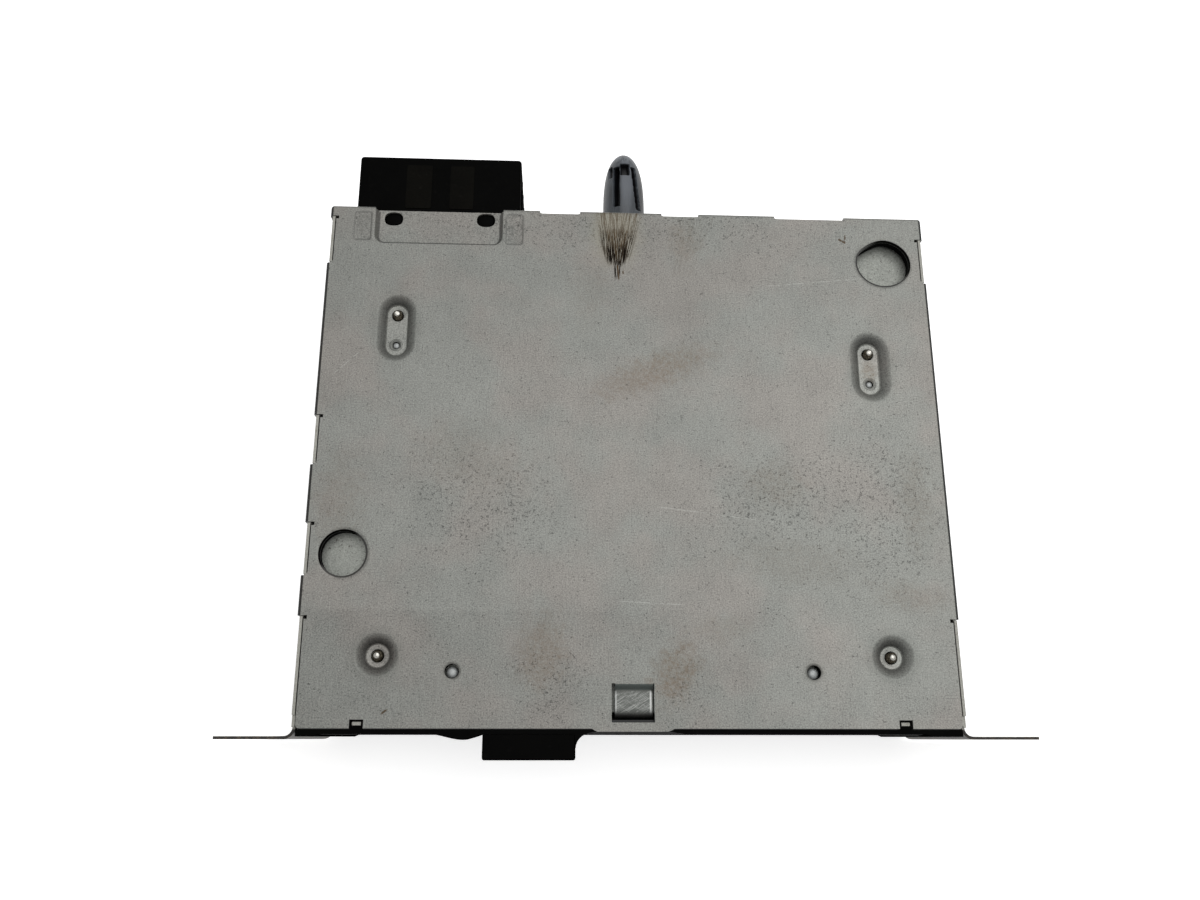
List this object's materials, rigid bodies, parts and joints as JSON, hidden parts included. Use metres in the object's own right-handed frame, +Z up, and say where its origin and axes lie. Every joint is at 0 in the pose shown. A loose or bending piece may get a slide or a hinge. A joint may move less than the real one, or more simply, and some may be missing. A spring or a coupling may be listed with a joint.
{
  "type": "car cd player",
  "caption": "Slot-loading car CD player: flat sheet steel casing with pressed recesses, front mounting ears, rear harness connector and locating peg, with its disc mechanism.",
  "frame": {"origin": "middle of the underside of the bounding box", "axes": "+X to the right across the casing, ears included; +Y from the bezel to the rear peg; +Z up out of the top cover"},
  "size_m": [0.2164, 0.1932, 0.052],
  "materials": {
    "cover_steel": "zinc coated sheet, dull, fine grain and stains",
    "chassis_steel": "zinc coated sheet, dull",
    "inner_steel": "plated sheet, satin",
    "screw_steel": "zinc plated screw",
    "motor_steel": "plated can, satin",
    "sink_aluminium": "extruded, matt",
    "casing_black": "moulded, satin black",
    "peg_grey": "moulded, matt blue grey",
    "mech_white": "moulded acetal, matt",
    "mech_black": "moulded, matt black",
    "chip_black": "moulded epoxy, matt",
    "board_green": "lacquered board",
    "contact_brass": "plated contacts",
    "rubber_black": "moulded rubber, matt",
    "felt_black": "pressed felt",
    "capacitor_sleeve": "shrink sleeve",
    "lens_glass": "coated lens"
  },
  "bodies": {
    "player_casing": {"top_cover": "cover_steel", "bottom_cover": "cover_steel", "chassis_frame": "chassis_steel", "front_bezel": "casing_black", "slot_felt_lower": "felt_black", "slot_felt_upper": "felt_black", "front_connector": "casing_black", "front_contacts": "contact_brass", "harness_connector": "casing_black", "harness_contacts": "contact_brass", "rear_peg": "peg_grey", "peg_nut": "screw_steel", "main_board": "board_green", "board_screw_1": "screw_steel", "board_screw_2": "screw_steel", "board_screw_3": "screw_steel", "board_screw_4": "screw_steel", "mech_screw_front_left": "screw_steel", "mech_screw_front_right": "screw_steel", "mech_screw_rear_left": "screw_steel", "mech_screw_rear_right": "screw_steel", "processor_chip": "chip_black", "capacitor_1": "capacitor_sleeve", "capacitor_2": "capacitor_sleeve", "heat_sink": "sink_aluminium", "amplifier_chip": "chip_black", "amplifier_clip": "inner_steel", "ribbon_socket": "mech_white", "ribbon_cable": "mech_white", "mech_frame": "inner_steel", "mech_tray": "inner_steel", "disc_guide": "mech_black", "damper_1": "rubber_black", "damper_2": "rubber_black", "damper_3": "rubber_black", "damper_4": "rubber_black", "loading_motor": "motor_steel"},
    "floating_deck": {"deck_plate": "inner_steel", "spindle_motor": "motor_steel", "guide_rod_side": "screw_steel", "guide_rod_main": "screw_steel", "sled_motor": "motor_steel", "clamp_pin": "screw_steel"},
    "turntable_body": {"turntable": "mech_black"},
    "sled_body": {"pickup_sled": "mech_black"},
    "lens_body": {"lens_holder": "mech_black", "objective_lens": "lens_glass"},
    "lead_screw_body": {"lead_screw": "contact_brass"},
    "clamp_arm_body": {"clamp_arm": "inner_steel"},
    "clamper_body": {"clamper": "mech_white"},
    "cam_body": {"cam_slide": "inner_steel"},
    "roller_arm_body": {"roller_arm": "inner_steel"},
    "roller_body": {"roller_shaft": "screw_steel", "roller_rubber": "rubber_black", "roller_gear": "mech_white"},
    "idler_body": {"idler_gear": "mech_white"},
    "worm_wheel_body": {"worm_wheel": "mech_white"},
    "worm_body": {"worm": "contact_brass"},
    "left_feeler": {"feeler_lever_left": "mech_white"},
    "right_feeler": {"feeler_lever_right": "mech_white"}
  },
  "joints": [
    {"name": "deck_float", "type": "slide", "parent": "player_casing", "child": "floating_deck", "axis": [0, 0, 1], "range_m": [-0.001, 0.001], "stiffness_N_per_m": 9000},
    {"name": "turntable_spin", "type": "hinge", "parent": "floating_deck", "child": "turntable_body", "pos_m": [0, -0.0166, 0.0354], "axis": [0, 0, 1], "continuous": true},
    {"name": "sled_slide", "type": "slide", "parent": "floating_deck", "child": "sled_body", "axis": [-1, 0, 0], "range_m": [0, 0.034]},
    {"name": "lens_focus", "type": "slide", "parent": "sled_body", "child": "lens_body", "axis": [0, 0, 1], "range_m": [-0.0006, 0.0006], "stiffness_N_per_m": 60},
    {"name": "lead_screw_spin", "type": "hinge", "parent": "floating_deck", "child": "lead_screw_body", "pos_m": [-0.024, 0.0144, 0.0245], "axis": [1, 0, 0], "range_deg": [0, 3062.7]},
    {"name": "clamp_arm_lift", "type": "hinge", "parent": "floating_deck", "child": "clamp_arm_body", "pos_m": [0, 0.0474, 0.0403], "axis": [1, 0, 0], "range_deg": [0, 1.97]},
    {"name": "clamper_spin", "type": "hinge", "parent": "clamp_arm_body", "child": "clamper_body", "pos_m": [0, -0.0166, 0.0423], "axis": [0, 0, 1], "continuous": true},
    {"name": "cam_travel", "type": "slide", "parent": "player_casing", "child": "cam_body", "axis": [0, -1, 0], "range_m": [0, 0.008]},
    {"name": "roller_arm_drop", "type": "hinge", "parent": "player_casing", "child": "roller_arm_body", "pos_m": [0, -0.04443, 0.0191], "axis": [1, 0, 0], "range_deg": [0, 6.62]},
    {"name": "roller_spin", "type": "hinge", "parent": "roller_arm_body", "child": "roller_body", "pos_m": [0, -0.0676, 0.0309], "axis": [1, 0, 0], "continuous": true},
    {"name": "idler_spin", "type": "hinge", "parent": "player_casing", "child": "idler_body", "pos_m": [0.0658, -0.06315, 0.03963], "axis": [1, 0, 0], "continuous": true},
    {"name": "worm_wheel_spin", "type": "hinge", "parent": "player_casing", "child": "worm_wheel_body", "pos_m": [0.0658, -0.0573, 0.03266], "axis": [1, 0, 0], "continuous": true},
    {"name": "worm_spin", "type": "hinge", "parent": "player_casing", "child": "worm_body", "pos_m": [0.0716, -0.0573, 0.02296], "axis": [0, 1, 0], "continuous": true},
    {"name": "left_feeler_swing", "type": "hinge", "parent": "player_casing", "child": "left_feeler", "pos_m": [-0.044, -0.0446, 0.0462], "axis": [0, 0, -1], "range_deg": [0, 16.5], "stiffness_Nm_per_rad": 0.002},
    {"name": "right_feeler_swing", "type": "hinge", "parent": "player_casing", "child": "right_feeler", "pos_m": [0.044, -0.0446, 0.0462], "axis": [0, 0, 1], "range_deg": [0, 16.5], "stiffness_Nm_per_rad": 0.002}
  ],
  "couplings": [
    {"joint": "lead_screw_spin", "follows": "sled_slide", "rad_per_m": 1570.8},
    {"joint": "clamp_arm_lift", "follows": "cam_travel", "rad_per_m": 4.2969},
    {"joint": "roller_arm_drop", "follows": "cam_travel", "rad_per_m": 14.423},
    {"joint": "idler_spin", "follows": "worm_spin", "ratio": 0.035714},
    {"joint": "roller_spin", "follows": "worm_spin", "ratio": -0.035714},
    {"joint": "worm_wheel_spin", "follows": "worm_spin", "ratio": -0.041667}
  ]
}
